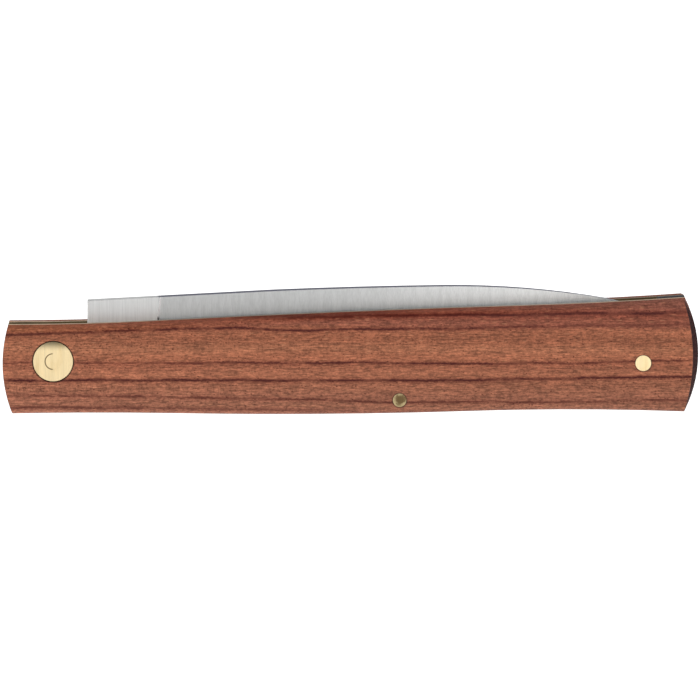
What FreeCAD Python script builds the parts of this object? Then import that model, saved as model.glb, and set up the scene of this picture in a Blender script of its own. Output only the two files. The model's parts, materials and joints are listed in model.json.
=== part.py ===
"""A folding grafting knife, closed: one single-bevel blade on a riveted wooden handle.

The knife is modelled about its pivot axis, in millimetres. X runs along the handle towards the
butt, Z runs up towards the side where the blade folds in, and the front face looks along -Y.
Every body is then shifted by its Placement, so that the frame's origin is the middle of the
closed knife's box.
"""
import FreeCAD, Part
import Sketcher

import math
import os
import re

from FreeCAD import Placement, Rotation, Vector

# The driving dimensions, in millimetres and degrees. The names ending in _x and _z are places
# measured from the pivot axis.
DIMENSIONS = (
    ("handle_length", 110.4, "front end to butt"),
    ("pivot_setback", 8.0, "front end to pivot axis"),
    ("origin_height", 1.36, "frame origin above the pivot axis"),
    # Stack of layers across the handle.
    ("scale_thick", 3.9, "wooden scale"),
    ("liner_thick", 1.0, "brass liner"),
    ("slot_width", 2.6, "gap between the liners, filled by the backspring"),
    # Outline of the liners: two end arcs, and three blended arcs along the top and the bottom.
    ("front_end_radius", 21.7, "arc of the front end"),
    ("front_end_drop", 0.4, "centre of that arc below the pivot axis"),
    ("butt_radius", 20.1, "arc of the butt"),
    ("butt_rise", 0.65, "centre of that arc above the pivot axis"),
    ("corner_round", 0.3, "rounding of the four corners of the liners and the backspring"),
    ("top_front_z", 5.4, "top corner at the front"),
    ("top_fore_x", 16.0, "end of the fore hollow of the top"),
    ("top_fore_z", 6.02, "end of the fore hollow of the top"),
    ("top_aft_x", 75.0, "start of the aft hollow of the top"),
    ("top_aft_z", 8.49, "start of the aft hollow of the top"),
    ("top_rear_z", 9.75, "top corner at the butt"),
    ("top_fore_radius", 438.0, "fore hollow of the top"),
    ("top_swell_radius", 2600.0, "swell of the top"),
    ("top_aft_radius", 646.0, "aft hollow of the top"),
    ("bottom_front_z", -8.56, "bottom corner at the front"),
    ("bottom_fore_x", 20.5, "end of the fore hollow of the bottom"),
    ("bottom_fore_z", -8.54, "end of the fore hollow of the bottom"),
    ("bottom_aft_x", 66.0, "start of the aft hollow of the bottom"),
    ("bottom_aft_z", -8.18, "start of the aft hollow of the bottom"),
    ("bottom_rear_z", -8.25, "bottom corner at the butt"),
    ("bottom_fore_radius", 773.0, "fore hollow of the bottom"),
    ("bottom_belly_radius", 924.0, "belly of the bottom"),
    ("bottom_aft_radius", 496.0, "aft hollow of the bottom"),
    # Wooden scales.
    ("scale_inset", 0.2, "how far the top and bottom walls lean in, from liner to outer face"),
    ("scale_butt_inset", 1.07, "the same at the middle of the butt"),
    ("scale_butt_radius", 29.0, "arc of the outer face's butt"),
    ("scale_edge_round", 1.1, "rounding of the outer face's long edges"),
    ("scale_end_break", 0.15, "rounding of the outer face's edges at both ends"),
    # Pins and inlaid washers.
    ("pivot_pin_diameter", 2.5, "pivot pin"),
    ("spring_pin_diameter", 2.15, "pin through the middle of the backspring"),
    ("spring_pin_x", 54.9, "pin through the middle of the backspring"),
    ("spring_pin_z", -6.18, "pin through the middle of the backspring"),
    ("end_pin_diameter", 2.5, "pin through the butt"),
    ("end_pin_x", 93.5, "pin through the butt"),
    ("end_pin_z", -0.27, "pin through the butt"),
    ("pin_crown", 0.04, "height of a pin's domed end"),
    ("washer_diameter", 6.4, "inlaid pivot washer"),
    ("washer_thick", 1.0, "inlaid pivot washer"),
    ("washer_edge_break", 0.08, "chamfer round the washer's outer face"),
    ("washer_gap", 0.1, "gap round the washer in its recess"),
    # Blade.
    ("blade_side_gap", 0.03, "gap between the blade and each liner"),
    ("pivot_gap", 0.03, "radial clearance of the blade on its pivot pin"),
    ("tang_flat", 5.1, "pivot axis to each of the tang's three flats"),
    ("tang_corner_radius", 3.0, "rounding between the tang's flats"),
    ("shoulder_x", 5.35, "step up from the tang to the back of the blade"),
    ("shoulder_z", 9.07, "top of that step"),
    ("shoulder_chamfer", 0.18, "chamfer on the front edge of that step"),
    ("back_swell_x", 35.0, "end of the straight stretch of the back"),
    ("back_swell_z", 10.65, "end of the straight stretch of the back"),
    ("back_swell_radius", 900.0, "back, rising to its crest"),
    ("crest_x", 62.0, "highest point of the back"),
    ("crest_z", 11.38, "highest point of the back"),
    ("back_fall_radius", 142.0, "back, falling from its crest"),
    ("back_point_x", 87.8, "start of the last curve to the point"),
    ("back_point_z", 9.31, "start of the last curve to the point"),
    ("back_point_radius", 25.0, "last curve to the point"),
    ("point_x", 93.5, "point of the blade"),
    ("point_z", 7.6, "point of the blade"),
    ("heel_x", 16.4, "heel, where the sharp edge starts"),
    ("heel_z", -3.33, "heel, where the sharp edge starts"),
    ("kick_x", 10.8, "front of the kick under the tang"),
    ("kick_slope_x", 12.0, "foot of the kick on the line of the edge"),
    ("edge_land", 0.12, "thickness left at the edge"),
    ("heel_bevel", 9.5, "angle of the single bevel at the heel"),
    ("point_bevel", 15.0, "angle of the single bevel at the point"),
    ("plunge_yaw", 28.0, "lean of the plunge wall away from the tang"),
    ("plunge_tilt", 8.0, "lean of the plunge wall towards the tang, going down"),
    # Backspring.
    ("spring_end_x", -5.25, "free end of the backspring"),
    ("cam_gap", 0.02, "film between the tang's flat and the backspring"),
    ("spring_seat_x", 11.5, "end of the flat seat under the tang"),
    ("spring_waist_x", 48.0, "thickest place of the arm"),
    ("spring_waist_z", -3.7, "thickest place of the arm"),
    ("spring_arm_x", 80.0, "end of the arm"),
    ("spring_arm_z", -4.0, "end of the arm"),
    ("spring_block_radius", 12.0, "curve from the arm up into the butt block"),
    ("spring_block_x", 89.2, "end of that curve"),
    ("spring_block_z", 0.6, "end of that curve"),
    ("spring_block_lean", 52.5, "slope of the front of the butt block"),
)

SHEET_NAME = "Dimensions"
ALIASES = {alias for alias, _, _ in DIMENSIONS}
WORD = re.compile(r"[a-z][a-z_]*")
FRONT = 1
REAR = -1
SAME_PLACE = 0.0001
STRAIGHT_ACROSS = 0.9
CORNER_REACH = 0.8
CUTTER_REACH = 20.0
# What the bevel's cutter spans about the edge: above it, below it, in front of it and past the point.
BEVEL_HEIGHT = 14.5
BEVEL_BELOW = 1.0
BEVEL_FRONT = 4.5
BEVEL_BEYOND = 1.0
PINS = (
    ("pivot_pin", "0", "0", "pivot_pin_diameter"),
    ("spring_pin", "spring_pin_x", "spring_pin_z", "spring_pin_diameter"),
    ("end_pin", "end_pin_x", "end_pin_z", "end_pin_diameter"),
)
HALF_THICKNESS = "slot_width / 2 + liner_thick + scale_thick"
LINER_OUTER = "slot_width / 2 + liner_thick"
EDGE_Y = "(slot_width / 2 - blade_side_gap - edge_land)"
EDGE_SLOPE = "(point_z - heel_z) / (point_x - heel_x)"


# Reading and binding the sheet.

def sheet_expression(text):
    """The expression with the sheet's name put in front of each dimension."""

    def with_sheet(found):
        word = found[0]
        return f"{SHEET_NAME}.{word}" if word in ALIASES else word

    return WORD.sub(with_sheet, text)


def bind(thing, path, text):
    """Drive one property of an object by an expression over the sheet."""
    thing.setExpression(path, sheet_expression(text))


def value_of(sketch, text):
    """The present value of an expression over the sheet."""
    return float(sketch.Document.getObject(SHEET_NAME).evalExpression(sheet_expression(text)))


def make_sheet(doc):
    sheet = doc.addObject("Spreadsheet::Sheet", SHEET_NAME)
    for row, (alias, value, meaning) in enumerate(DIMENSIONS, start=1):
        sheet.set(f"A{row}", meaning)
        sheet.set(f"B{row}", str(value))
        sheet.setAlias(f"B{row}", alias)
    doc.recompute()


# Bodies and sketches.

def new_body(doc, label, x="0", y="0", z="0", turned=False):
    """A body whose own origin lies at (x, y, z) from the pivot axis, turned about Z if asked."""
    body = doc.addObject("PartDesign::Body", label)
    body.Label = label
    if turned:
        body.Placement = Placement(Vector(), Rotation(Vector(0, 0, 1), 180))
    bind(body, "Placement.Base.x", f"{x} - (handle_length / 2 - pivot_setback)")
    bind(body, "Placement.Base.y", y)
    bind(body, "Placement.Base.z", f"{z} - origin_height")
    return body


def new_sketch(body, name, plane, offset="0"):
    """A sketch on one of the body's origin planes, moved along the plane's normal."""
    sketch = body.newObject("Sketcher::SketchObject", name)
    support = next(item for item in body.Origin.OriginFeatures if item.Role == plane)
    sketch.AttachmentSupport = [(support, "")]
    sketch.MapMode = "FlatFace"
    bind(sketch, "AttachmentOffset.Base.z", offset)
    return sketch


def hold_point(sketch, geometry, vertex, place):
    """Hold a sketch point at a place given by two expressions from the sketch's origin."""
    for kind, text in zip(("DistanceX", "DistanceY"), place):
        if text == "0":
            axis = -2 if kind == "DistanceX" else -1
            sketch.addConstraint(Sketcher.Constraint("PointOnObject", geometry, vertex, axis))
            continue
        constraint = Sketcher.Constraint(kind, -1, 1, geometry, vertex, value_of(sketch, text))
        index = sketch.addConstraint(constraint)
        bind(sketch, f"Constraints[{index}]", text)


def arc_through(start, end, radius, bulge):
    """The shorter arc from start to end, bulging to the left (1) or right (-1) of the way there."""
    chord = end - start
    middle = (start + end) / 2
    left = Vector(-chord.y, chord.x, 0).normalize()
    apothem = math.sqrt(radius ** 2 - (chord.Length / 2) ** 2)
    centre = middle - left * (bulge * apothem)
    first, last = (start, end) if bulge < 0 else (end, start)
    angles = [math.atan2(point.y - centre.y, point.x - centre.x) for point in (first, last)]
    return Part.ArcOfCircle(Part.Circle(centre, Vector(0, 0, 1), radius), *angles)


def draw_outline(sketch, corners):
    """A closed chain of edges through corners.

    Each corner is (x, z), or (x, z, radius, bulge) to bend the edge that follows it.
    """
    points = [Vector(value_of(sketch, corner[0]), value_of(sketch, corner[1]), 0) for corner in corners]
    ends = []
    for number, corner in enumerate(corners):
        start = points[number]
        end = points[(number + 1) % len(points)]
        if len(corner) == 2:
            edge = sketch.addGeometry(Part.LineSegment(start, end))
            ends.append((edge, 1, 2))
            continue
        radius, bulge = corner[2:]
        edge = sketch.addGeometry(arc_through(start, end, value_of(sketch, radius), bulge))
        ends.append((edge, 1, 2) if bulge < 0 else (edge, 2, 1))
    for number, corner in enumerate(corners):
        edge, start, _ = ends[number]
        previous, _, previous_end = ends[number - 1]
        sketch.addConstraint(Sketcher.Constraint("Coincident", previous, previous_end, edge, start))
        hold_point(sketch, edge, start, corner[:2])
    for number, corner in enumerate(corners):
        if len(corner) > 2:
            edge = ends[number][0]
            radius = Sketcher.Constraint("Radius", edge, value_of(sketch, corner[2]))
            index = sketch.addConstraint(radius)
            bind(sketch, f"Constraints[{index}]", corner[2])


def draw_circle(sketch, x, z, diameter):
    centre = Vector(value_of(sketch, x), value_of(sketch, z), 0)
    size = value_of(sketch, diameter)
    circle = sketch.addGeometry(Part.Circle(centre, Vector(0, 0, 1), size / 2))
    index = sketch.addConstraint(Sketcher.Constraint("Diameter", circle, size))
    bind(sketch, f"Constraints[{index}]", diameter)
    hold_point(sketch, circle, 3, (x, z))


# Features.

def add_pad(body, name, sketch, length, towards_rear=False, symmetric=False):
    pad = body.newObject("PartDesign::Pad", name)
    pad.Profile = sketch
    pad.SideType = "Symmetric" if symmetric else "One side"
    pad.Reversed = towards_rear
    bind(pad, "Length", length)
    return pad


def add_pocket(body, name, sketch, depth=None, towards_front=False):
    """Cut a sketch to a depth, or right through both ways, and make sure that it cut something."""
    body.Document.recompute()
    before = body.Tip.Shape.Volume
    pocket = body.newObject("PartDesign::Pocket", name)
    pocket.Profile = sketch
    if depth is None:
        pocket.SideType = "Symmetric"
        pocket.Type = "ThroughAll"
    else:
        pocket.Reversed = towards_front
        bind(pocket, "Length", depth)
    body.Document.recompute()
    if not pocket.Shape.Volume < before:
        raise RuntimeError(f"{name} of {body.Label} cuts nothing")
    return pocket


def edges_where(feature, test):
    """The names of a feature's edges that pass a test."""
    return [f"Edge{number}" for number, edge in enumerate(feature.Shape.Edges, start=1) if test(edge)]


def add_round(body, name, feature, test, radius):
    body.Document.recompute()
    fillet = body.newObject("PartDesign::Fillet", name)
    fillet.Base = (feature, edges_where(feature, test))
    bind(fillet, "Radius", radius)
    return fillet


def add_chamfer(body, name, feature, test, size):
    body.Document.recompute()
    chamfer = body.newObject("PartDesign::Chamfer", name)
    chamfer.Base = (feature, edges_where(feature, test))
    bind(chamfer, "Size", size)
    return chamfer


def runs_across(edge):
    """A straight edge that crosses the handle's thickness."""
    start, end = edge.firstVertex().Point, edge.lastVertex().Point
    return len(edge.Vertexes) == 2 and abs(end.y - start.y) > STRAIGHT_ACROSS * edge.Length


def lies_at_y(edge, place):
    return all(abs(vertex.Y - place) < SAME_PLACE for vertex in edge.Vertexes)


def lies_at_x(edge, place):
    return all(abs(vertex.X - place) < SAME_PLACE for vertex in edge.Vertexes)


# Shared outline and bores.

def front_end_x(height):
    rise = f"({height} + front_end_drop)"
    return f"front_end_radius - pivot_setback - sqrt(front_end_radius ^ 2 - {rise} ^ 2)"


def butt_x(height, radius="butt_radius", inset="0"):
    centre = f"handle_length - pivot_setback - {inset} - {radius}"
    return f"{centre} + sqrt({radius} ^ 2 - ({height} - butt_rise) ^ 2)"


def draw_handle_outline(sketch, inset="0", butt_radius="butt_radius", butt_inset="0"):
    """The handle from the front, anticlockwise from the bottom corner of the front end.

    The insets bring the long sides and the middle of the butt in from the liners' outline.
    """
    bottom_front = f"bottom_front_z + {inset}"
    bottom_rear = f"bottom_rear_z + {inset}"
    top_rear = f"top_rear_z - {inset}"
    top_front = f"top_front_z - {inset}"
    draw_outline(sketch, (
        (front_end_x(f"({bottom_front})"), bottom_front, f"bottom_fore_radius - {inset}", 1),
        ("bottom_fore_x", f"bottom_fore_z + {inset}", f"bottom_belly_radius - {inset}", -1),
        ("bottom_aft_x", f"bottom_aft_z + {inset}", f"bottom_aft_radius + {inset}", 1),
        (butt_x(f"({bottom_rear})", butt_radius, butt_inset), bottom_rear, butt_radius, -1),
        (butt_x(f"({top_rear})", butt_radius, butt_inset), top_rear, f"top_aft_radius + {inset}", 1),
        ("top_aft_x", f"top_aft_z - {inset}", f"top_swell_radius - {inset}", -1),
        ("top_fore_x", f"top_fore_z - {inset}", f"top_fore_radius + {inset}", 1),
        (front_end_x(f"({top_front})"), top_front, "front_end_radius", -1),
    ))


def drill_pin_bores(body, pins):
    sketch = new_sketch(body, "pin_bore_circles", "XZ_Plane")
    for _, x, z, diameter in pins:
        draw_circle(sketch, x, z, diameter)
    return add_pocket(body, "pin_bores", sketch)


def corner_test(body):
    """A test for the four edges that cross the handle's thickness at the outline's corners."""
    corners = [(value_of(body, x(z)), value_of(body, z)) for x, z in (
        (front_end_x, "bottom_front_z"),
        (front_end_x, "top_front_z"),
        (butt_x, "bottom_rear_z"),
        (butt_x, "top_rear_z"),
    )]

    def near_corner(point):
        return any(math.hypot(point.x - x, point.z - z) < CORNER_REACH for x, z in corners)

    return lambda edge: runs_across(edge) and all(near_corner(vertex.Point) for vertex in edge.Vertexes)


# The pieces.

def make_liner(doc, label, side):
    body = new_body(doc, label)
    sketch = new_sketch(body, "liner_outline", "XZ_Plane", f"{side} * slot_width / 2")
    draw_handle_outline(sketch)
    pad = add_pad(body, "plate", sketch, "liner_thick", towards_rear=side == REAR)
    add_round(body, "corner_rounds", pad, corner_test(body), "corner_round")
    drill_pin_bores(body, PINS)
    return body


def make_scale(doc, label, side):
    """A wooden scale: its walls lean in from the liner, and it has a recess for the pivot washer."""
    body = new_body(doc, label)
    inner = new_sketch(body, "inner_outline", "XZ_Plane", f"{side} * ({LINER_OUTER})")
    draw_handle_outline(inner)
    outer = new_sketch(body, "outer_outline", "XZ_Plane", f"{side} * ({HALF_THICKNESS})")
    draw_handle_outline(outer, "scale_inset", "scale_butt_radius", "scale_butt_inset")
    slab = body.newObject("PartDesign::AdditiveLoft", "slab")
    slab.Profile, far_outline = (inner, outer) if side == FRONT else (outer, inner)
    slab.Sections = [far_outline]
    slab.Ruled = True
    body.Document.recompute()
    inner_y = -side * value_of(body, LINER_OUTER)
    outer_y = -side * value_of(body, HALF_THICKNESS)
    front_corner = value_of(body, front_end_x("bottom_front_z"))
    rear_corner = value_of(body, butt_x("top_rear_z"))

    def on_long_side(edge):
        heights = [vertex.Z for vertex in edge.Vertexes]
        return lies_at_y(edge, outer_y) and min(heights) * max(heights) > 0

    def around_an_end(edge):
        if lies_at_y(edge, inner_y):
            return False
        places = [vertex.X for vertex in edge.Vertexes]
        return max(places) < front_corner + CORNER_REACH or min(places) > rear_corner - CORNER_REACH

    rounded = add_round(body, "long_edges", slab, on_long_side, "scale_edge_round")
    add_round(body, "end_edges", rounded, around_an_end, "scale_end_break")
    drill_pin_bores(body, PINS)
    recess = new_sketch(body, "washer_recess_circle", "XZ_Plane", f"{side} * ({HALF_THICKNESS})")
    draw_circle(recess, "0", "0", "washer_diameter + 2 * washer_gap")
    add_pocket(body, "washer_recess", recess, "washer_thick", towards_front=side == REAR)
    return body


def draw_bevel_section(sketch, bevel, squeeze="1"):
    """What the single bevel removes at one place along the blade, about a point of the edge.

    The bevel leans from the edge up to the front face. The outline overshoots the blade below
    the edge, above the back and in front of the front face. Distances across the blade are
    divided by squeeze, which is below 1 on a plane that crosses the blade at a slant.
    """
    low = f"({EDGE_Y} + {BEVEL_BELOW} * tan({bevel})) / {squeeze}"
    high = f"({EDGE_Y} - {BEVEL_HEIGHT} * tan({bevel})) / {squeeze}"
    front = f"-{BEVEL_FRONT} / {squeeze}"
    draw_outline(sketch, (
        (low, f"-{BEVEL_BELOW}"),
        (high, f"{BEVEL_HEIGHT}"),
        (front, f"{BEVEL_HEIGHT}"),
        (front, f"-{BEVEL_BELOW}"),
    ))


def grind_bevel(body):
    """Grind the front face from the back to the edge, ending at a slanted plunge wall."""
    yaw, tilt = value_of(body, "plunge_yaw"), value_of(body, "plunge_tilt")
    heel = new_sketch(body, "heel_section", "YZ_Plane", f"heel_x - {EDGE_Y} * tan(plunge_yaw)")
    heel.AttachmentOffset = Placement(
        heel.AttachmentOffset.Base,
        Rotation(Vector(1, 0, 0), tilt) * Rotation(Vector(0, 1, 0), -yaw),
    )
    bind(heel, "AttachmentOffset.Base.y", f"heel_z + {EDGE_Y} * tan(plunge_yaw) * sin(plunge_tilt)")
    draw_bevel_section(heel, "heel_bevel", "cos(plunge_yaw)")
    point = new_sketch(body, "point_section", "YZ_Plane", f"point_x + {BEVEL_BEYOND}")
    bind(point, "AttachmentOffset.Base.y", f"point_z + {BEVEL_BEYOND} * {EDGE_SLOPE}")
    draw_bevel_section(point, "point_bevel")
    body.Document.recompute()
    before = body.Tip.Shape.Volume
    loft = body.newObject("PartDesign::SubtractiveLoft", "bevel")
    loft.Profile = heel
    loft.Sections = [point]
    loft.Ruled = True
    body.Document.recompute()
    if not loft.Shape.Volume < before:
        raise RuntimeError("the bevel cuts nothing")


def make_blade(doc):
    """The blade folded in: square tang round the pivot, a straight edge and a curved back."""
    body = new_body(doc, "blade")
    sketch = new_sketch(body, "blade_outline", "XZ_Plane")
    draw_outline(sketch, (
        ("-tang_flat", "-tang_flat"),
        ("kick_x", "-tang_flat"),
        ("kick_slope_x", f"heel_z + (kick_slope_x - heel_x) * {EDGE_SLOPE}"),
        ("point_x", "point_z", "back_point_radius", -1),
        ("back_point_x", "back_point_z", "back_fall_radius", -1),
        ("crest_x", "crest_z", "back_swell_radius", -1),
        ("back_swell_x", "back_swell_z"),
        ("shoulder_x", "shoulder_z"),
        ("shoulder_x", "tang_flat"),
        ("-tang_flat", "tang_flat"),
    ))
    blank = add_pad(body, "blank", sketch, "slot_width - 2 * blade_side_gap", symmetric=True)
    tang_end = -value_of(body, "tang_flat")

    def at_tang_end(edge):
        return runs_across(edge) and lies_at_x(edge, tang_end)

    add_round(body, "tang_corners", blank, at_tang_end, "tang_corner_radius")
    bore = new_sketch(body, "pivot_bore_circle", "XZ_Plane")
    draw_circle(bore, "0", "0", "pivot_pin_diameter + 2 * pivot_gap")
    add_pocket(body, "pivot_bore", bore)
    grind_bevel(body)
    shoulder = value_of(body, "shoulder_x")
    front_y = -value_of(body, "slot_width / 2 - blade_side_gap")

    def on_shoulder(edge):
        return lies_at_x(edge, shoulder) and lies_at_y(edge, front_y)

    add_chamfer(body, "shoulder_edge", body.Tip, on_shoulder, "shoulder_chamfer")
    return body


def make_backspring(doc):
    """The backspring: a handle-shaped plate with the blade's cavity cut out of its top."""
    body = new_body(doc, "backspring")
    sketch = new_sketch(body, "spring_outline", "XZ_Plane")
    draw_handle_outline(sketch)
    plate = add_pad(body, "plate", sketch, "slot_width", symmetric=True)
    add_round(body, "corner_rounds", plate, corner_test(body), "corner_round")
    cavity = new_sketch(body, "cavity_outline", "XZ_Plane")
    seat = "-tang_flat - cam_gap"
    block_top_x = f"spring_block_x + ({CUTTER_REACH} - spring_block_z) / tan(spring_block_lean)"
    draw_outline(cavity, (
        (f"-{CUTTER_REACH}", f"-{CUTTER_REACH}"),
        ("spring_end_x", f"-{CUTTER_REACH}"),
        ("spring_end_x", seat),
        ("spring_seat_x", seat),
        ("spring_waist_x", "spring_waist_z"),
        ("spring_arm_x", "spring_arm_z", "spring_block_radius", -1),
        ("spring_block_x", "spring_block_z"),
        (block_top_x, f"{CUTTER_REACH}"),
        (f"-{CUTTER_REACH}", f"{CUTTER_REACH}"),
    ))
    add_pocket(body, "cavity", cavity)
    drill_pin_bores(body, PINS[1:])
    return body


def make_pin(doc, label, x, z, diameter):
    """A pin peened flush: a rod with slightly domed ends, as long as the handle is thick."""
    body = new_body(doc, label, x=x, z=z)
    sketch = new_sketch(body, "half_profile", "XY_Plane")
    end = f"({HALF_THICKNESS})"
    radius = f"{diameter} / 2"
    dome = f"(({radius}) ^ 2 + pin_crown ^ 2) / (2 * pin_crown)"
    draw_outline(sketch, (
        ("0", f"-{end}", dome, -1),
        (radius, f"-{end} + pin_crown"),
        (radius, f"{end} - pin_crown", dome, -1),
        ("0", end),
    ))
    rod = body.newObject("PartDesign::Revolution", "rod")
    rod.Profile = sketch
    rod.ReferenceAxis = (sketch, ["V_Axis"])
    return body


def make_washer(doc, label, turned):
    """A brass disc let into the scale round the pivot pin, its outer edge broken."""
    half = f"({HALF_THICKNESS})"
    body = new_body(doc, label, y=half if turned else f"-{half}", turned=turned)
    sketch = new_sketch(body, "washer_circles", "XZ_Plane", "-washer_thick")
    draw_circle(sketch, "0", "0", "washer_diameter")
    draw_circle(sketch, "0", "0", "pivot_pin_diameter")
    disc = add_pad(body, "disc", sketch, "washer_thick")
    rim = value_of(body, "washer_diameter / 2")

    def outer_rim(edge):
        return lies_at_y(edge, 0) and abs(edge.firstVertex().X) + SAME_PLACE > rim

    add_chamfer(body, "broken_edge", disc, outer_rim, "washer_edge_break")
    return body


def make_pieces(doc):
    pieces = [
        make_scale(doc, "front_scale", FRONT),
        make_scale(doc, "rear_scale", REAR),
        make_liner(doc, "front_liner", FRONT),
        make_liner(doc, "rear_liner", REAR),
        make_blade(doc),
        make_backspring(doc),
        make_washer(doc, "front_pivot_washer", turned=False),
        make_washer(doc, "rear_pivot_washer", turned=True),
    ]
    pieces += [make_pin(doc, *pin) for pin in PINS]
    return pieces


def check(doc, pieces):
    """Stop before anything is written if an object failed or a piece isn't one valid solid."""
    for item in doc.Objects:
        if {"Invalid", "Error"} & set(item.State):
            raise RuntimeError(f"{item.Label} failed: {item.State}")
    for piece in pieces:
        shape = piece.Shape
        if shape.isNull() or not shape.isValid() or len(shape.Solids) != 1:
            raise RuntimeError(f"{piece.Label} is not one valid solid")


def main():
    doc = FreeCAD.newDocument("grafting_knife")
    make_sheet(doc)
    pieces = make_pieces(doc)
    doc.recompute()
    check(doc, pieces)
    os.makedirs("parts", exist_ok=True)
    for piece in pieces:
        piece.Shape.exportStep(f"parts/{piece.Label}.step")


main()
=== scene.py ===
"""Looks of a folding grafting knife: materials, floor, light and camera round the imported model."""
import json
import math

import bpy
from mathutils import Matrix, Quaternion, Vector


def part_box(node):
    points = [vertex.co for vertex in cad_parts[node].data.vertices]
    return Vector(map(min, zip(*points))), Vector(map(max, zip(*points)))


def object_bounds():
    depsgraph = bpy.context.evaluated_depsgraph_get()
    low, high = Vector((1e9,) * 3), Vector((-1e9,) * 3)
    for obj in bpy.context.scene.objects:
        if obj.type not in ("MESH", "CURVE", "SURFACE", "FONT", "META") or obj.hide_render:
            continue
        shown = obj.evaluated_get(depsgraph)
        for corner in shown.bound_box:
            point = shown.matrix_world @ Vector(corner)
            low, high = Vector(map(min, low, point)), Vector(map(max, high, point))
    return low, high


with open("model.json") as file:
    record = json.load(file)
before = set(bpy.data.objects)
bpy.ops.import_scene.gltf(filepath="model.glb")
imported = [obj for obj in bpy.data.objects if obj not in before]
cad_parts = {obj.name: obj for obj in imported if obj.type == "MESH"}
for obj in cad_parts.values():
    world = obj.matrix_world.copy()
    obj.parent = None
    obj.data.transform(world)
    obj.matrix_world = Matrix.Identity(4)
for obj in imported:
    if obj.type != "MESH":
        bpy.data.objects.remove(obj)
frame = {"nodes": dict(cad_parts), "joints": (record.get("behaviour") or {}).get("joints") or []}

CAD_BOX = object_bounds()
MM = 0.001

# Places on the knife, from the frame, in metres.
PIVOT = Vector(frame["joints"][0]["pos_m"])
HANDLE_LOW, HANDLE_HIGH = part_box("front_liner")
BLADE_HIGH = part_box("blade")[1]
OUTER_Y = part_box("rear_scale")[1].y

# Places as the materials count them, in millimetres from the pivot.
FRONT_END_X = (HANDLE_LOW.x - PIVOT.x) / MM
HANDLE_LENGTH = (HANDLE_HIGH.x - HANDLE_LOW.x) / MM
SLOT_HALF_WIDTH = BLADE_HIGH.y / MM
PLUNGE_X = 16.7
TALLEST = 10.0  # the whole handle is within this height of the pivot

# Camera.
CAMERA_AZIMUTH = -0.5
CAMERA_ELEVATION = 7.0
CAMERA_LENS = 420.0
CAMERA_REACH = (0.1, 20.0)
SENSOR_WIDTH = 36.0
PICTURE_WIDTH = 110.84 * MM
AIM = Vector((-0.174 * MM, -OUTER_Y, 0.493 * MM))

# Floor.
FLOOR_GREY = 0.15
FLOOR_GLOW = 1.20
FLOOR_GAP = 0.5 * MM
FLOOR_SIZE = 14.0

# World. It dims where its direction is low and behind the knife: between these values of the
# direction's Z and Y parts.
WORLD_BRIGHT = 0.42
WORLD_DIM = 0.10
DIM_SPANS = {"Z": (0.55, 0.25), "Y": (0.1, 0.6)}

# Lights, all aimed at the knife's middle: place, width and height in metres, and power in watts.
LIGHTS = {
    "front": ((0.05, -1.20, 0.40), (1.2, 0.6), 2.2),
    "left": ((-0.90, -0.05, 0.10), (0.3, 0.5), 1.5),
    "right": ((0.75, -0.50, 0.10), (0.3, 0.3), 0.9),
    "top": ((0.00, -0.10, 1.00), (1.2, 0.5), 5.0),
}


# Shader graphs.

# Places of a mix node's colour sockets, which share their names with its other sockets.
MIX_A, MIX_B, MIX_RESULT = 6, 7, 2


def linear(*levels):
    """A display colour, three levels of 0 to 255, as linear RGBA."""
    shares = [level / 255 for level in levels]
    return (*[c / 12.92 if c <= 0.04045 else ((c + 0.055) / 1.055) ** 2.4 for c in shares], 1.0)


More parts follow.
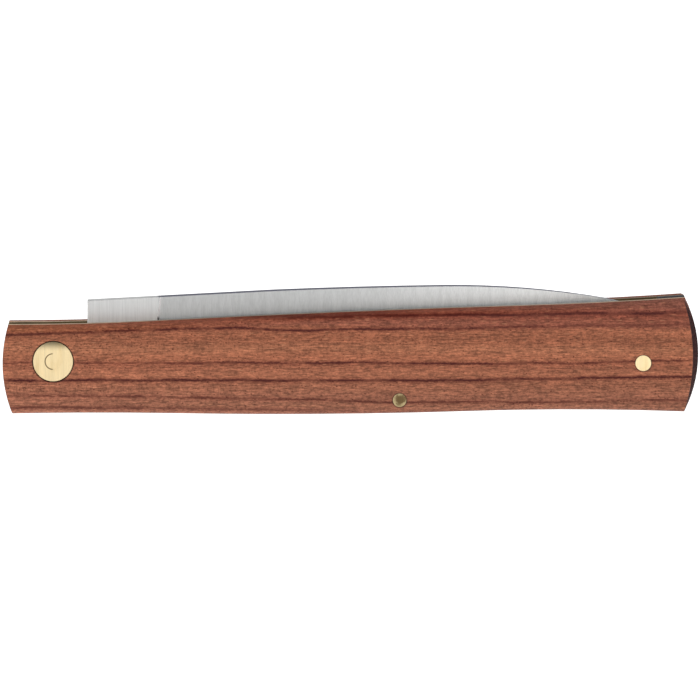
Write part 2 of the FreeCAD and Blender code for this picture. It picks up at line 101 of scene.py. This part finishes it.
class Graph:
    """A material whose nodes are made by short calls; every call returns an output socket.

    The place is in millimetres from the pivot, with the parts x, y and z. The parts of the piece's
    own normal are facing_x, facing_y and facing_z.
    """

    def __init__(self, name):
        self.material = bpy.data.materials.new(name)
        self.material.use_nodes = True
        self.nodes = self.material.node_tree.nodes
        self.links = self.material.node_tree.links
        self.nodes.clear()
        coordinates = self.nodes.new("ShaderNodeTexCoord")
        from_pivot = self.vector("SUBTRACT", coordinates.outputs["Object"], PIVOT)
        self.place = self.vector("MULTIPLY", from_pivot, (1 / MM, 1 / MM, 1 / MM))
        self.x, self.y, self.z = self.parts(self.place)
        self.facing_x, self.facing_y, self.facing_z = self.parts(coordinates.outputs["Normal"])

    def put(self, socket, value):
        """Link another socket to this one, or set its value."""
        if isinstance(value, bpy.types.NodeSocket):
            self.links.new(value, socket)
        else:
            socket.default_value = value

    def vector(self, operation, a, b, c=(0.0, 0.0, 0.0), output="Vector"):
        node = self.nodes.new("ShaderNodeVectorMath")
        node.operation = operation
        for socket, value in zip(node.inputs, (a, b, c)):
            self.put(socket, value)
        return node.outputs[output]

    def parts(self, vector):
        node = self.nodes.new("ShaderNodeSeparateXYZ")
        self.put(node.inputs[0], vector)
        return node.outputs

    def join(self, x, y, z):
        node = self.nodes.new("ShaderNodeCombineXYZ")
        for socket, value in zip(node.inputs, (x, y, z)):
            self.put(socket, value)
        return node.outputs[0]

    def math(self, operation, a, b=0.0, c=0.0):
        node = self.nodes.new("ShaderNodeMath")
        node.operation = operation
        for socket, value in zip(node.inputs, (a, b, c)):
            self.put(socket, value)
        return node.outputs[0]

    def between(self, share, at_none, at_all):
        """The number at_none where the share is 0, at_all where it is 1, and in proportion between."""
        return self.math("MULTIPLY_ADD", share, at_all - at_none, at_none)

    def centred(self, value, spread):
        """A value about 0.5 turned into one about 0, with the given spread."""
        return self.between(value, -0.5 * spread, 0.5 * spread)

    def step(self, value, low, high, at_low=0.0, at_high=1.0):
        """A smooth step of value, from at_low at low to at_high at high."""
        node = self.nodes.new("ShaderNodeMapRange")
        node.interpolation_type = "SMOOTHSTEP"
        for socket, number in zip(node.inputs, (value, low, high, at_low, at_high)):
            self.put(socket, number)
        return node.outputs[0]

    def stretched(self, features, seed):
        """The place as a texture takes it, for so many features per millimetre along X, Y and Z."""
        return self.vector("MULTIPLY_ADD", self.place, features, (seed, seed, seed))

    def noise(self, features, detail, roughness, seed):
        node = self.nodes.new("ShaderNodeTexNoise")
        self.put(node.inputs["Vector"], self.stretched(features, seed))
        for name, value in (("Scale", 1.0), ("Detail", detail), ("Roughness", roughness)):
            self.put(node.inputs[name], value)
        return node.outputs["Fac"]

    def cells(self, features, seed):
        """Voronoi cells: the distance to the cell's centre and the cell's own random number."""
        node = self.nodes.new("ShaderNodeTexVoronoi")
        self.put(node.inputs["Vector"], self.stretched(features, seed))
        self.put(node.inputs["Scale"], 1.0)
        return node.outputs["Distance"], self.parts(node.outputs["Color"])[0]

    def ramp(self, factor, stops, interpolation="EASE"):
        """Colours at places from 0 to 1."""
        node = self.nodes.new("ShaderNodeValToRGB")
        ramp = node.color_ramp
        ramp.interpolation = interpolation
        while len(ramp.elements) > 1:
            ramp.elements.remove(ramp.elements[0])
        ramp.elements[0].position, ramp.elements[0].color = stops[0]
        for position, colour in stops[1:]:
            ramp.elements.new(position).color = colour
        self.put(node.inputs[0], factor)
        return node.outputs[0]

    def along_handle(self, values, low=0.0, high=1.0):
        """A smooth curve through values at even places from the front end, all from low to high."""
        share = self.math("DIVIDE", self.math("SUBTRACT", self.x, FRONT_END_X), HANDLE_LENGTH)
        stops = []
        for number, value in enumerate(values):
            level = (value - low) / (high - low)
            stops.append((number / (len(values) - 1), (level, level, level, 1.0)))
        return self.between(self.ramp(share, stops, "CARDINAL"), low, high)

    def mix(self, factor, a, b, blend="MIX"):
        node = self.nodes.new("ShaderNodeMix")
        node.data_type = "RGBA"
        node.blend_type = blend
        self.put(node.inputs[0], factor)
        self.put(node.inputs[MIX_A], a)
        self.put(node.inputs[MIX_B], b)
        return node.outputs[MIX_RESULT]

    def shade(self, colour, factor):
        """The colour times a grey factor."""
        return self.mix(1.0, colour, self.join(factor, factor, factor), "MULTIPLY")

    def soft_edges(self, radius):
        """The normal with edges rounded by a radius in millimetres."""
        node = self.nodes.new("ShaderNodeBevel")
        self.put(node.inputs["Radius"], radius * MM)
        return node.outputs[0]

    def edge_nearness(self, radius):
        """How near a sharp edge each place is, 0 to 1, within a radius in millimetres."""
        normal = self.nodes.new("ShaderNodeNewGeometry").outputs["Normal"]
        likeness = self.vector("DOT_PRODUCT", self.soft_edges(radius), normal, output="Value")
        return self.step(likeness, 0.75, 0.98, 1.0, 0.0)

    def flat_ends(self):
        """The normal of a round piece across the handle, its two ends taken as flat."""
        side = self.math("LESS_THAN", self.math("ABSOLUTE", self.facing_y), 0.9)
        across = self.math("MULTIPLY", self.facing_x, side)
        up = self.math("MULTIPLY", self.facing_z, side)
        return self.turned_with_piece(self.join(across, self.facing_y, up))

    def turned_with_piece(self, direction):
        """A direction fixed to the piece, in world space, so that it turns with a joint."""
        node = self.nodes.new("ShaderNodeVectorTransform")
        node.vector_type = "VECTOR"
        node.convert_from = "OBJECT"
        node.convert_to = "WORLD"
        self.put(node.inputs[0], direction)
        return node.outputs[0]

    def relief(self, height, depth, normal):
        """A normal with fine relief of the given depth in millimetres."""
        node = self.nodes.new("ShaderNodeBump")
        self.put(node.inputs["Strength"], 1.0)
        self.put(node.inputs["Distance"], depth * MM)
        self.put(node.inputs["Height"], height)
        self.put(node.inputs["Normal"], normal)
        return node.outputs[0]

    def from_axis(self, node):
        """Of a round piece across the handle: distance from its axis, radius, and X and Z from it."""
        low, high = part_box(node)
        middle = ((low + high) / 2 - PIVOT) / MM
        across = self.math("SUBTRACT", self.x, middle.x)
        up = self.math("SUBTRACT", self.z, middle.z)
        squares = self.math("ADD", self.math("POWER", across, 2.0), self.math("POWER", up, 2.0))
        return self.math("SQRT", squares), (high.x - low.x) / 2 / MM, across, up

    def surface(self, **inputs):
        """Finish with a Principled surface. Underscores in names stand for spaces."""
        shader = self.nodes.new("ShaderNodeBsdfPrincipled")
        for name, value in inputs.items():
            self.put(shader.inputs[name.replace("_", " ")], value)
        output = self.nodes.new("ShaderNodeOutputMaterial")
        self.links.new(shader.outputs[0], output.inputs[0])
        return self.material


# Wood.

# Colour bands of the boards: height above the pivot in millimetres, and the colour there.
WOOD_BANDS = (
    (-8.6, linear(143, 92, 73)),
    (-7.3, linear(147, 94, 72)),
    (-5.6, linear(148, 93, 71)),
    (-4.2, linear(153, 96, 72)),
    (-3.2, linear(149, 92, 68)),
    (-1.8, linear(159, 98, 72)),
    (-0.4, linear(149, 89, 65)),
    (0.8, linear(159, 97, 70)),
    (2.0, linear(161, 101, 73)),
    (3.4, linear(145, 87, 62)),
    (4.9, linear(153, 92, 66)),
    (5.9, linear(138, 80, 61)),
    (7.4, linear(132, 71, 53)),
    (9.4, linear(132, 82, 68)),
)
LINE_COLOUR = linear(66, 18, 15)
LINE_HALO = linear(112, 50, 36)
PORE_COLOUR = linear(60, 22, 16)
FLECK_COLOUR = linear(204, 140, 104)
PIN_GRIME = linear(50, 30, 24)
END_GRAIN_LIGHT = linear(60, 32, 31)
END_GRAIN_DARK = linear(22, 9, 11)

# The board's fibre. Each layer is noise: features per millimetre along X, Y and Z, detail,
# roughness, and what it adds to the board's seed. Last is the step from noise to shade: the noise
# values that are darkest and lightest, and the shades there.
FIBRE_LAYERS = {
    "long soft fibre": ((0.12, 5.0, 5.5), 4, 0.65, 3, (0.32, 0.68, 0.83, 1.15)),
    "short streaks": ((0.7, 3.0, 5.0), 4, 0.75, 5, (0.36, 0.64, 0.62, 1.30)),
    "mottle": ((2.4, 2.0, 3.2), 3, 0.7, 6, (0.36, 0.64, 0.76, 1.20)),
    "wide bands": ((0.035, 0.8, 1.1), 3, 0.6, 7, (0.30, 0.70, 0.90, 1.10)),
}

# Other noise in the wood: features per millimetre along X, Y and Z, detail and roughness.
BAND_NOISE = ((0.03, 0.05, 0.10), 3, 0.5)
FRAY_NOISE = ((1.5, 0.6, 2.4), 4, 0.8)
WANDER_NOISE = ((0.09, 0.04, 0.0), 3, 0.55)
PATCH_NOISE = ((0.2, 0.1, 0.4), 4, 0.7)
TICK_NOISE = ((3.6, 0.8, 0.8), 3, 0.7)
CROWD_NOISE = ((0.10, 0.3, 0.6), 2, 0.5)
RING_NOISE = ((0.1, 0.9, 1.8), 4, 0.7)

# Cells per millimetre along X, Y and Z.
FLECK_CELLS = (0.6, 2.0, 5.0)
PORE_CELLS = (2.0, 2.0, 4.0)
END_GRAIN_CELLS = (0.3, 3.2, 3.6)

# Shade of the boards' lower half at five even places from the front end to the butt.
LOWER_SHADES = (1.08, 1.05, 0.99, 0.94, 0.92)

# Dark growth lines of the boards: heights above the pivot at five even places from the front end
# to the butt, then the half width, all in millimetres. Last is how dark the line is at the front
# end, at the middle and at the butt.
GROWTH_LINES = (
    ((5.9, 6.6, 7.15, 7.5, 7.8), 0.22, (0.0, 0.80, 0.90)),
    ((4.3, 5.2, 5.1, 5.45, 5.95), 0.17, (0.80, 0.95, 0.45)),
    ((-0.3, -0.2, -0.15, -0.3, 0.2), 0.14, (0.45, 0.95, 0.80)),
    ((-3.1, -2.95, -3.05, -2.9, -2.4), 0.18, (1.0, 0.95, 1.0)),
    ((-5.6, -5.6, -6.3, -6.5, -6.1), 0.15, (0.50, 0.75, 0.55)),
    ((-7.4, -7.5, -8.0, -8.1, -8.1), 0.18, (0.70, 0.35, 0.15)),
)

# Millimetres by which the colour bands and the growth lines stray from their heights.
BAND_SWAY = 1.6
LINE_WANDER = 0.85
LINE_FRAY = 0.66

# Rows of short ticks across the grain: height above the pivot and half height in millimetres, and
# how strong they are at the front end, at the middle and at the butt.
RIPPLES = (
    (3.9, 0.7, (0.0, 0.3, 0.8)),
    (2.5, 0.7, (0.9, 0.6, 0.2)),
    (-4.2, 1.0, (1.0, 0.4, 0.2)),
)
RIPPLE_ELSEWHERE = 0.12

# How strongly each kind of figure colours the wood, and the shades of ripple ticks and of places near
# sharp edges.
HALO_SHARE = 0.38
FLECK_SHARE = 0.50
PORE_SHARE = 0.80
GRIME_SHARE = 0.75
TICK_SHADE = 0.66
WOOD_EDGE_SHADE = 1.15

WOOD_EDGE = 0.12
WOOD_RELIEF = 0.02


def board_bands(g, seed, offset):
    """The board's colour bands along the grain, swaying a little, and the shade of its lower half."""
    sway = g.centred(g.noise(*BAND_NOISE, seed), BAND_SWAY)
    height = g.math("SUBTRACT", g.math("ADD", g.z, sway), offset)
    share = g.math("MULTIPLY_ADD", height, 0.5 / TALLEST, 0.5)
    bands = g.ramp(share, [(0.5 + 0.5 * z / TALLEST, colour) for z, colour in WOOD_BANDS])
    lower = g.step(g.z, -1.5, 0.5, 1.0, 0.0)
    change = g.math("SUBTRACT", g.along_handle(LOWER_SHADES, 0.8, 1.2), 1.0)
    return g.shade(bands, g.math("MULTIPLY_ADD", lower, change, 1.0))


def growth_lines(g, seed, offset):
    """How much dark growth line there is at each place, 0 to 1, and how much of its red halo."""
    lines, halos = 0.0, 0.0
    frayed = g.centred(g.noise(*FRAY_NOISE, seed), LINE_FRAY)
    for number, (heights, half_width, darkness) in enumerate(GROWTH_LINES):
        own_seed = seed + 13.7 * number
        wander = g.centred(g.noise(*WANDER_NOISE, own_seed), LINE_WANDER)
        middle = g.math("ADD", g.along_handle(heights, -TALLEST, TALLEST), offset)
        middle = g.math("ADD", g.math("ADD", middle, wander), frayed)
        off = g.math("ABSOLUTE", g.math("SUBTRACT", g.z, middle))
        patches = g.step(g.noise(*PATCH_NOISE, own_seed + 5), 0.38, 0.56, 0.50, 1.0)
        strength = g.math("MULTIPLY", patches, g.along_handle(darkness))
        line = g.step(off, 0.2 * half_width, 1.9 * half_width, 1.0, 0.0)
        halo = g.step(off, half_width, 4.0 * half_width, 1.0, 0.0)
        lines = g.math("MAXIMUM", g.math("MULTIPLY", line, strength), lines)
        halos = g.math("MAXIMUM", g.math("MULTIPLY", halo, strength), halos)
    return lines, halos


def ripple_ticks(g, seed):
    """Where the short ticks across the grain are, 0 to 1. They are strongest in their rows."""
    rows = RIPPLE_ELSEWHERE
    for height, half_height, strength in RIPPLES:
        off = g.math("ABSOLUTE", g.math("SUBTRACT", g.z, height))
        row = g.step(off, 0.4 * half_height, 1.4 * half_height, 1.0, 0.0)
        rows = g.math("MAXIMUM", g.math("MULTIPLY", row, g.along_handle(strength)), rows)
    return g.math("MULTIPLY", g.step(g.noise(*TICK_NOISE, seed), 0.52, 0.62), rows)


def pale_flecks(g, seed):
    """Where the short pale flecks along the grain are, 0 to 1."""
    distance, chance = g.cells(FLECK_CELLS, seed)
    return g.math("MULTIPLY", g.step(distance, 0.10, 0.40, 1.0, 0.0), g.step(chance, 0.80, 0.82))


def pores(g, seed):
    """Where the dark pores are, 0 to 1. They crowd in some places."""
    distance, chance = g.cells(PORE_CELLS, seed)
    rarity = g.step(g.noise(*CROWD_NOISE, seed + 2), 0.42, 0.62, 0.96, 0.74)
    pore = g.step(distance, 0.12, 0.42, 1.0, 0.0)
    return g.math("MULTIPLY", pore, g.math("GREATER_THAN", chance, rarity))


def pin_grime(g):
    """How much dark polish has gathered round the pins and washers, 0 to 1."""
    total = 0.0
    for node in ("front_pivot_washer", "spring_pin", "end_pin"):
        distance, radius, _, _ = g.from_axis(node)
        ring = g.step(g.math("SUBTRACT", distance, radius), 0.02, 0.24, 1.0, 0.0)
        total = g.math("MAXIMUM", ring, total)
    return total


def end_grain(g, seed):
    """The colour of the wood where it is cut across: dark pores in a ringed ground."""
    distance, _ = g.cells(END_GRAIN_CELLS, seed)
    colour = g.mix(g.step(distance, 0.15, 0.60), END_GRAIN_DARK, END_GRAIN_LIGHT)
    return g.shade(colour, g.step(g.noise(*RING_NOISE, seed + 4), 0.36, 0.64, 0.55, 1.25))


def wood_material(name, seed, offset):
    """Oiled red-brown hardwood, its grain along X. The offset moves a board's figure up."""
    g = Graph(name)
    colour = board_bands(g, seed, offset)
    layers = {}
    for layer, (features, detail, roughness, own_seed, shades) in FIBRE_LAYERS.items():
        layers[layer] = g.noise(features, detail, roughness, seed + own_seed)
        colour = g.shade(colour, g.step(layers[layer], *shades))
    colour = g.shade(colour, g.between(ripple_ticks(g, seed + 11), 1.0, TICK_SHADE))
    colour = g.mix(g.math("MULTIPLY", pale_flecks(g, seed + 23), FLECK_SHARE), colour, FLECK_COLOUR)

    lines, halos = growth_lines(g, seed, offset)
    colour = g.mix(g.math("MULTIPLY", halos, HALO_SHARE), colour, LINE_HALO)
    colour = g.mix(lines, colour, LINE_COLOUR)
    holes = pores(g, seed + 29)
    colour = g.mix(g.math("MULTIPLY", holes, PORE_SHARE), colour, PORE_COLOUR)
    colour = g.mix(g.math("MULTIPLY", pin_grime(g), GRIME_SHARE), colour, PIN_GRIME)

    end = g.step(g.math("ABSOLUTE", g.facing_x), 0.90, 0.95)
    colour = g.mix(end, colour, end_grain(g, seed + 37))
    colour = g.shade(colour, g.between(g.edge_nearness(WOOD_EDGE), 1.0, WOOD_EDGE_SHADE))

    dull = g.math("MAXIMUM", end, g.step(g.facing_z, 0.15, 0.75))
    height = g.math("SUBTRACT", g.math("MULTIPLY", layers["short streaks"], 0.6), holes)
    fibre_roughness = g.between(layers["long soft fibre"], 0.42, 0.58)
    return g.surface(
        Base_Color=colour,
        Roughness=g.math("MULTIPLY_ADD", g.math("MAXIMUM", holes, dull), 0.25, fibre_roughness),
        Specular_IOR_Level=g.between(dull, 0.15, 0.03),
        Normal=g.relief(height, WOOD_RELIEF, g.soft_edges(WOOD_EDGE)),
    )


# Metals.

FLAT_STEEL = linear(208, 209, 208)
GROUND_STEEL = linear(241, 243, 242)
# Painted shade colour for the back of the ground part.
BACK_PAINTED_SHADE = linear(120, 122, 140)
# Painted highlight colour for the plunge's wall.
WALL_PAINTED_HIGHLIGHT = linear(250, 250, 250)
# Painted shade colour for the corner at the foot of the plunge.
CORNER_PAINTED_SHADE = linear(40, 38, 36)
# Painted shade colour for the front of the spring's top.
SPRING_TOP_PAINTED_SHADE = linear(58, 60, 74)
SPRING_GREY = linear(190, 190, 194)
BRASS_EDGE = linear(226, 198, 168)
# Painted shade colour for the liners' faces inside the slot.
BRASS_INSIDE_PAINTED_SHADE = linear(112, 98, 72)
BRASS_BRIGHT = linear(244, 222, 176)
BRASS_STAIN = linear(226, 198, 144)
HAIRLINE = linear(88, 68, 42)
PATINA = linear(108, 88, 60)
PATINA_RIM = linear(180, 162, 122)

# How bright the ground face's colour and the liners' edges are painted at five even places from the
# front end
# to the butt: painted sheen where high and painted shade where low, as at the front liner's middle
# under the blade. The ground face is shaded as if it sloped up by GROUND_LIFT, as a crowned face does.
GROUND_SHEEN = (0.57, 0.57, 0.66, 0.91, 1.0)
FRONT_LINER_SHEEN_AND_SHADE = (1.0, 0.45, 0.40, 0.55, 0.9)
REAR_LINER_SHEEN_AND_SHADE = (1.0, 0.8, 0.7, 0.6, 0.25)
GROUND_LIFT = 0.22

# Roughness between the scratches and in them.
FLAT_ROUGHNESS = (0.42, 0.60)
GROUND_ROUGHNESS = (0.28, 0.44)
SPRING_ROUGHNESS = (0.24, 0.40)
LINER_ROUGHNESS = (0.40, 0.60)
PIN_ROUGHNESS = (0.36, 0.54)

# Noise on the metals: features per millimetre along X, Y and Z, detail and roughness.
SCRATCHES_UP = (((8.0, 5.0, 0.20), 4, 0.75), ((1.5, 1.0, 0.05), 3, 0.6))
SCRATCHES_ALONG = (((0.25, 5.0, 8.0), 4, 0.75), ((0.05, 1.0, 1.5), 3, 0.6))
LINER_STAIN_NOISE = ((0.35, 0.5, 0.6), 3, 0.6)
PIN_STAIN_NOISE = ((0.6, 0.5, 0.25), 3, 0.6)
PATINA_NOISE = ((1.6, 1.2, 1.6), 3, 0.7)

# Where the painted shade sits: where the front liner's edge meets the corner of the plunge.
CORNER_X = PLUNGE_X - 0.1
CORNER_Z = 5.9

# Rounding, the reach of lighter edges, and scratches, in millimetres.
BLADE_EDGE = 0.08
SHEET_EDGE = 0.06
METAL_EDGE_REACH = 0.05
SCRATCH_DEPTH = 0.004

# The spring pin's dark patch: how ragged it is, and how far it leans to the pin's upper rear.
PATINA_RAGGED = 1.6
PATINA_LEAN = 0.22


def brushed(g, kinds, seed):
    """Fine scratches over broad ones, as a number about 0.5."""
    fine, broad = kinds
    sharp = g.noise(*fine, seed)
    soft = g.noise(*broad, seed + 9)
    return g.math("ADD", g.math("MULTIPLY", sharp, 0.6), g.math("MULTIPLY", soft, 0.4))


def metal_surface(g, colour, scratches, roughness, normal, metallic=1.0):
    """Brushed metal whose colour and roughness follow its scratches, its colour lighter near sharp
    edges.
    """
    edge_lightened = g.shade(colour, g.between(g.edge_nearness(METAL_EDGE_REACH), 1.0, 1.08))
    return g.surface(
        Base_Color=g.shade(edge_lightened, g.step(scratches, 0.36, 0.64, 0.88, 1.08)),
        Metallic=metallic,
        Roughness=g.step(scratches, 0.3, 0.7, *roughness),
        Normal=g.relief(scratches, SCRATCH_DEPTH, normal),
    )


def corner_painted_shade(g):
    """How much painted shade lies where the front liner's edge meets the plunge, 0 to 1."""
    across = g.math("ABSOLUTE", g.math("SUBTRACT", g.x, CORNER_X))
    up = g.math("ABSOLUTE", g.math("SUBTRACT", g.z, CORNER_Z))
    shade_mask = g.math("MULTIPLY", g.step(across, 0.05, 0.25, 1.0, 0.0), g.step(up, 0.3, 0.85, 0.85, 0.0))
    return g.math("MULTIPLY", shade_mask, g.math("LESS_THAN", g.facing_y, 0.0))


def blade_material():
    """Satin steel: a flat by the tang, a wall painted pale as a highlight and the ground face beyond
    it, and a back painted dark as shade.
    """
    g = Graph("blade_steel")
    ground = g.step(g.x, PLUNGE_X - 0.5, PLUNGE_X + 0.5)
    back = g.step(g.facing_z, 0.55, 0.85)
    wall = g.step(g.facing_x, 0.25, 0.45)
    face = g.math("MULTIPLY", ground, g.step(g.facing_y, -0.95, -0.80, 1.0, 0.0))

    # Painted sheen and shade: the ground face's colour brightens along the handle towards the butt.
    colour = g.mix(ground, FLAT_STEEL, g.shade(GROUND_STEEL, g.along_handle(GROUND_SHEEN)))
    # Painted shade: the back of the ground part is coloured dark blue-grey.
    colour = g.mix(g.math("MULTIPLY", back, ground), colour, BACK_PAINTED_SHADE)
    # Painted highlight: the plunge's wall is coloured near white as a bright line.
    colour = g.mix(wall, colour, WALL_PAINTED_HIGHLIGHT)
    # Painted shade in the corner at the foot of the plunge.
    colour = g.mix(corner_painted_shade(g), colour, CORNER_PAINTED_SHADE)

    flat_back = g.math("MULTIPLY", back, g.math("SUBTRACT", 1.0, ground))
    dull = g.math("MAXIMUM", g.math("MAXIMUM", flat_back, wall), g.math("MULTIPLY", ground, 0.65))
    roughness = [g.between(ground, *pair) for pair in zip(FLAT_ROUGHNESS, GROUND_ROUGHNESS)]
    lift = g.turned_with_piece(g.join(0.0, 0.0, g.math("MULTIPLY", face, GROUND_LIFT)))
    normal = g.vector("ADD", g.soft_edges(BLADE_EDGE), lift)
    scratches = brushed(g, SCRATCHES_UP, 5.0)
    return metal_surface(g, colour, scratches, roughness, normal, g.between(dull, 1.0, 0.15))


def spring_material():
    """Filed spring steel. Its top in the slot is painted dark as shade along the front and is pale
    along the rear.
    """
    g = Graph("spring_steel")
    rear_side = g.step(g.y, 0.4 * SLOT_HALF_WIDTH, SLOT_HALF_WIDTH)
    # Painted shade: the front half of the spring's top is coloured dark.
    top = g.mix(rear_side, SPRING_TOP_PAINTED_SHADE, SPRING_GREY)
    colour = g.mix(g.step(g.facing_z, 0.3, 0.8), SPRING_GREY, top)
    scratches = brushed(g, SCRATCHES_ALONG, 8.0)
    return metal_surface(g, colour, scratches, SPRING_ROUGHNESS, g.soft_edges(SHEET_EDGE))


def liner_material(name, sheen_and_shade):
    """Sheet brass: its filed edges carry painted sheen and painted shade along the handle, its faces
    inside the slot are painted dark as shade.
    """
    g = Graph(name)
    inside = g.step(g.math("ABSOLUTE", g.facing_y), 0.5, 0.9)
    # Painted sheen and shade along the handle on the liners' edges.
    edge = g.shade(BRASS_EDGE, g.along_handle(sheen_and_shade))
    stains = g.step(g.noise(*LINER_STAIN_NOISE, 6.0), 0.40, 0.70, 1.0, 0.78)
    # Painted shade: the faces inside the slot take a dark olive colour.
    colour = g.shade(g.mix(inside, edge, BRASS_INSIDE_PAINTED_SHADE), stains)
    scratches = brushed(g, SCRATCHES_ALONG, 2.0)
    metallic = g.between(inside, 0.4, 1.0)
    return metal_surface(g, colour, scratches, LINER_ROUGHNESS, g.soft_edges(SHEET_EDGE), metallic)


def bright_brass(g):
    """The colour of brass filed flush, a little stained."""
    stains = g.step(g.noise(*PIN_STAIN_NOISE, 8.0), 0.42, 0.72, 0.0, 0.5)
    return g.mix(stains, BRASS_BRIGHT, BRASS_STAIN)


def pin_surface(g, colour, seed):
    return metal_surface(g, colour, brushed(g, SCRATCHES_UP, seed), PIN_ROUGHNESS, g.flat_ends())


def end_pin_material():
    g = Graph("end_pin_brass")
    return pin_surface(g, bright_brass(g), 4.0)


def pivot_brass_material():
    """The washers and the pivot pin: a hairline on one half of their joint, and painted shade
    darkening the top.
    """
    g = Graph("pivot_brass")
    distance, radius, _, _ = g.from_axis("pivot_pin")
    off = g.math("ABSOLUTE", g.math("SUBTRACT", distance, radius))
    front_half = g.step(g.x, -0.25, 0.15, 1.0, 0.0)
    hairline = g.math("MULTIPLY", g.step(off, 0.03, 0.13, 1.0, 0.0), front_half)
    colour = g.mix(g.math("MULTIPLY", hairline, 0.9), bright_brass(g), HAIRLINE)
    # Painted shade: the brass is darkened towards the top of the washers and pin.
    colour = g.shade(colour, g.step(g.z, 1.6, 3.2, 0.88, 0.22))
    return pin_surface(g, colour, 4.0)


def patina_material():
    """A pin gone dull olive, its rim rubbed brighter."""
    g = Graph("spring_pin_brass")
    distance, radius, across, up = g.from_axis("spring_pin")
    ragged = g.centred(g.noise(*PATINA_NOISE, 3.0), PATINA_RAGGED)
    lean = g.math("MULTIPLY", g.math("ADD", across, up), -PATINA_LEAN)
    rubbed = g.math("ADD", g.math("ADD", distance, ragged), lean)
    colour = g.mix(g.step(rubbed, 0.45 * radius, 1.15 * radius), PATINA, PATINA_RIM)
    return pin_surface(g, colour, 12.0)


def paint(material, *nodes):
    for node in nodes:
        mesh = frame["nodes"][node].data
        mesh.shade_smooth()
        mesh.materials.clear()
        mesh.materials.append(material)


def make_materials():
    paint(wood_material("front_wood", 3.0, 0.0), "front_scale")
    paint(wood_material("rear_wood", 57.0, -0.9), "rear_scale")
    paint(blade_material(), "blade")
    paint(spring_material(), "backspring")
    paint(liner_material("front_liner_brass", FRONT_LINER_SHEEN_AND_SHADE), "front_liner")
    paint(liner_material("rear_liner_brass", REAR_LINER_SHEEN_AND_SHADE), "rear_liner")
    paint(pivot_brass_material(), "pivot_pin", "front_pivot_washer", "rear_pivot_washer")
    paint(end_pin_material(), "end_pin")
    paint(patina_material(), "spring_pin")


# Surroundings.

def make_floor():
    """A white floor, lit from within like a light table, below the knife open or closed."""
    open_blade_low = 2 * PIVOT.z - BLADE_HIGH.z
    height = min(CAD_BOX[0].z, open_blade_low) - FLOOR_GAP
    bpy.ops.mesh.primitive_plane_add(size=FLOOR_SIZE, location=(0, 0, height))
    floor = bpy.context.object
    floor.name = "floor"
    material = bpy.data.materials.new("floor_white")
    material.use_nodes = True
    shader = material.node_tree.nodes["Principled BSDF"]
    shader.inputs["Base Color"].default_value = (FLOOR_GREY, FLOOR_GREY, FLOOR_GREY, 1)
    shader.inputs["Roughness"].default_value = 0.9
    shader.inputs["Specular IOR Level"].default_value = 0.0
    shader.inputs["Emission Color"].default_value = (1, 1, 1, 1)
    shader.inputs["Emission Strength"].default_value = FLOOR_GLOW
    floor.data.materials.append(material)


def make_world():
    """A pale studio that is dim low down behind the knife, which keeps upward edges dark."""
    world = bpy.data.worlds.new("studio")
    bpy.context.scene.world = world
    world.use_nodes = True
    nodes = world.node_tree.nodes
    links = world.node_tree.links
    direction = nodes.new("ShaderNodeSeparateXYZ")
    links.new(nodes.new("ShaderNodeTexCoord").outputs["Generated"], direction.inputs[0])
    dim = nodes.new("ShaderNodeMath")
    dim.operation = "MULTIPLY"
    for socket, (axis, (none, full)) in zip(dim.inputs, DIM_SPANS.items()):
        share = nodes.new("ShaderNodeMapRange")
        share.interpolation_type = "SMOOTHSTEP"
        share.inputs["From Min"].default_value = none
        share.inputs["From Max"].default_value = full
        links.new(direction.outputs[axis], share.inputs[0])
        links.new(share.outputs[0], socket)
    strength = nodes.new("ShaderNodeMapRange")
    strength.inputs["To Min"].default_value = WORLD_BRIGHT
    strength.inputs["To Max"].default_value = WORLD_DIM
    links.new(dim.outputs[0], strength.inputs[0])
    background = nodes["Background"]
    background.inputs["Color"].default_value = (1.0, 1.0, 1.0, 1.0)
    links.new(strength.outputs[0], background.inputs["Strength"])


def make_lights():
    for name, (place, size, power) in LIGHTS.items():
        data = bpy.data.lights.new(name, "AREA")
        data.shape = "RECTANGLE"
        data.size, data.size_y = size
        data.energy = power
        light = bpy.data.objects.new(name, data)
        light.location = place
        light.rotation_mode = "QUATERNION"
        light.rotation_quaternion = (-Vector(place)).to_track_quat("-Z", "Y")
        bpy.context.scene.collection.objects.link(light)


def make_camera():
    """A long lens in front of the knife and a little above it, rolled so that the knife is level."""
    azimuth = math.radians(CAMERA_AZIMUTH)
    elevation = math.radians(CAMERA_ELEVATION)
    back = Vector((
        math.sin(azimuth) * math.cos(elevation),
        -math.cos(azimuth) * math.cos(elevation),
        math.sin(elevation),
    ))
    roll = -math.atan(math.tan(azimuth) * math.sin(elevation))
    data = bpy.data.cameras.new("camera")
    data.lens = CAMERA_LENS
    data.sensor_width = SENSOR_WIDTH
    data.clip_start, data.clip_end = CAMERA_REACH
    camera = bpy.data.objects.new("camera", data)
    camera.location = AIM + back * PICTURE_WIDTH * CAMERA_LENS / SENSOR_WIDTH
    camera.rotation_mode = "QUATERNION"
    camera.rotation_quaternion = (-back).to_track_quat("-Z", "Y") @ Quaternion((0, 0, 1), roll)
    bpy.context.scene.collection.objects.link(camera)
    bpy.context.scene.camera = camera


def set_colours():
    view = bpy.context.scene.view_settings
    view.view_transform = "Standard"
    view.look = "None"


make_materials()
make_floor()
make_world()
make_lights()
make_camera()
set_colours()
